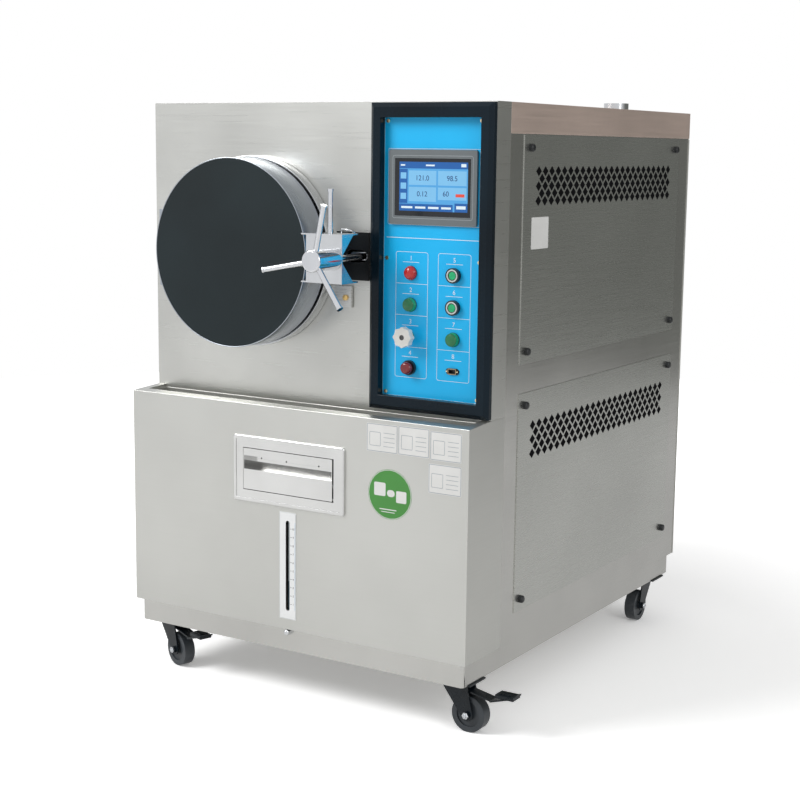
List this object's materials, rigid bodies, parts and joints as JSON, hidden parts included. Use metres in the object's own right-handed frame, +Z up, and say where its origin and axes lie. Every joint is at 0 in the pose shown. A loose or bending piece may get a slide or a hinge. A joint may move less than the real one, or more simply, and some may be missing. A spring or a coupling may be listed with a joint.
{
  "type": "environmental test chamber",
  "caption": "Stainless steel pressure test chamber on casters, with a round swing door, handwheel latch, touch-screen control panel and water filling flap.",
  "frame": {"origin": "on the floor below the middle of the whole object's outline at rest, including the handwheel, the front brake pedal and the cable gland", "axes": "+Z up, -Y out of the front with the door and the control panel, +X to the right seen from the front"},
  "size_m": [0.9424, 1.1986, 1.266],
  "materials": {
    "stainless": "brushed",
    "panel_steel": "fine brushed",
    "frame_steel": "satin",
    "plated_steel": "polished",
    "vessel_steel": "satin",
    "door_black": "fine textured",
    "bezel_black": "semi-gloss",
    "panel_blue": "satin",
    "housing_grey": "satin",
    "screen": "gloss",
    "black_plastic": "satin",
    "white_plastic": "satin",
    "lamp_lens": "gloss",
    "green_lens": "gloss",
    "red_lens": "gloss",
    "seal_rubber": "matte",
    "clear_glass": "clear",
    "white_enamel": "satin",
    "caster_black": "black gloss paint",
    "caster_wheel": "satin",
    "brass": "satin"
  },
  "bodies": {
    "cabinet": {"upper_front_panel": "stainless", "lower_front_cover": "stainless", "top_cover": "stainless", "side_panel_right_upper": "stainless", "side_panel_right_lower": "stainless", "side_panel_left_upper": "stainless", "side_panel_left_lower": "stainless", "rear_panel": "stainless", "drip_trough": "stainless", "fill_box": "stainless", "base_frame": "frame_steel", "cabinet_frame": "frame_steel", "water_tank": "frame_steel", "side_panel_knobs": "black_plastic", "button_collars": "black_plastic", "usb_socket": "black_plastic", "power_gland": "black_plastic", "control_bezel": "bezel_black", "keeper_plate": "bezel_black", "control_plate": "panel_blue", "control_plate_screws": "plated_steel", "hinge_pin": "plated_steel", "vent_nozzle": "plated_steel", "drain_valve": "plated_steel", "hmi_housing": "housing_grey", "hmi_screen": "screen", "pilot_lamps": "lamp_lens", "exhaust_valve": "brass", "vessel_shell": "vessel_steel", "heater_coil": "vessel_steel", "sample_rack": "vessel_steel", "hinge_bracket": "vessel_steel", "gauge_plate": "white_enamel", "gauge_tube": "clear_glass", "caster_plates": "caster_black"},
    "door": {"door_drum": "panel_steel", "door_face": "door_black", "door_plate": "vessel_steel", "door_seal": "seal_rubber", "door_arm": "bezel_black", "latch_bracket": "vessel_steel", "grip_rod": "plated_steel"},
    "handwheel": {"handwheel_hub": "plated_steel", "handwheel_spokes": "plated_steel", "latch_spindle": "plated_steel"},
    "fill_flap": {"fill_flap": "stainless"},
    "start_button": {"start_button": "green_lens"},
    "run_button": {"run_button": "green_lens"},
    "red_button": {"red_button": "red_lens"},
    "valve_knob": {"valve_knob": "white_plastic"},
    "fork_front_right": {"caster_fork_front_right": "caster_black"},
    "wheel_front_right": {"caster_wheel_front_right": "caster_wheel"},
    "pedal_front_right": {"caster_pedal_front_right": "caster_black"},
    "fork_front_left": {"caster_fork_front_left": "caster_black"},
    "wheel_front_left": {"caster_wheel_front_left": "caster_wheel"},
    "pedal_front_left": {"caster_pedal_front_left": "caster_black"},
    "fork_rear_right": {"caster_fork_rear_right": "caster_black"},
    "wheel_rear_right": {"caster_wheel_rear_right": "caster_wheel"},
    "fork_rear_left": {"caster_fork_rear_left": "caster_black"},
    "wheel_rear_left": {"caster_wheel_rear_left": "caster_wheel"}
  },
  "joints": [
    {"name": "door_hinge", "type": "hinge", "parent": "cabinet", "child": "door", "pos_m": [-0.40075, -0.43373, 0.9415], "axis": [0, 0, -1], "range_deg": [0, 105]},
    {"name": "handwheel_turn", "type": "hinge", "parent": "door", "child": "handwheel", "pos_m": [0.08575, -0.51373, 0.9415], "axis": [0, 1, 0], "range_deg": [0, 90]},
    {"name": "flap_hinge", "type": "hinge", "parent": "cabinet", "child": "fill_flap", "pos_m": [-0.03945, -0.49023, 0.45025], "axis": [1, 0, 0], "range_deg": [0, 35]},
    {"name": "start_button_press", "type": "slide", "parent": "cabinet", "child": "start_button", "axis": [0, 1, 0], "range_m": [0, 0.0035], "stiffness_N_per_m": 400, "springref_m": -0.002},
    {"name": "run_button_press", "type": "slide", "parent": "cabinet", "child": "run_button", "axis": [0, 1, 0], "range_m": [0, 0.0035], "stiffness_N_per_m": 400, "springref_m": -0.002},
    {"name": "red_button_press", "type": "slide", "parent": "cabinet", "child": "red_button", "axis": [0, 1, 0], "range_m": [0, 0.0035], "stiffness_N_per_m": 400, "springref_m": -0.002},
    {"name": "valve_turn", "type": "hinge", "parent": "cabinet", "child": "valve_knob", "pos_m": [0.19825, -0.42373, 0.7867], "axis": [0, -1, 0], "range_deg": [0, 360]},
    {"name": "swivel_front_right", "type": "hinge", "parent": "cabinet", "child": "fork_front_right", "pos_m": [0.33625, -0.42473, 0.095], "axis": [0, 0, 1], "continuous": true},
    {"name": "spin_front_right", "type": "hinge", "parent": "fork_front_right", "child": "wheel_front_right", "pos_m": [0.36725, -0.42473, 0.0375], "axis": [0, 1, 0], "continuous": true},
    {"name": "brake_front_right", "type": "hinge", "parent": "fork_front_right", "child": "pedal_front_right", "pos_m": [0.35525, -0.42473, 0.088], "axis": [0, 1, 0], "range_deg": [0, 10]},
    {"name": "swivel_front_left", "type": "hinge", "parent": "cabinet", "child": "fork_front_left", "pos_m": [-0.40975, -0.42473, 0.095], "axis": [0, 0, 1], "continuous": true},
    {"name": "spin_front_left", "type": "hinge", "parent": "fork_front_left", "child": "wheel_front_left", "pos_m": [-0.38027, -0.43431, 0.0375], "axis": [0.309, 0.9511, 0], "continuous": true},
    {"name": "brake_front_left", "type": "hinge", "parent": "fork_front_left", "child": "pedal_front_left", "pos_m": [-0.39168, -0.4306, 0.088], "axis": [0.309, 0.9511, 0], "range_deg": [0, 10]},
    {"name": "swivel_rear_right", "type": "hinge", "parent": "cabinet", "child": "fork_rear_right", "pos_m": [0.33625, 0.49627, 0.095], "axis": [0, 0, 1], "continuous": true},
    {"name": "spin_rear_right", "type": "hinge", "parent": "fork_rear_right", "child": "wheel_rear_right", "pos_m": [0.33625, 0.46527, 0.0375], "axis": [1, 0, 0], "continuous": true},
    {"name": "swivel_rear_left", "type": "hinge", "parent": "cabinet", "child": "fork_rear_left", "pos_m": [-0.40975, 0.49627, 0.095], "axis": [0, 0, 1], "continuous": true},
    {"name": "spin_rear_left", "type": "hinge", "parent": "fork_rear_left", "child": "wheel_rear_left", "pos_m": [-0.40975, 0.46527, 0.0375], "axis": [1, 0, 0], "continuous": true}
  ]
}
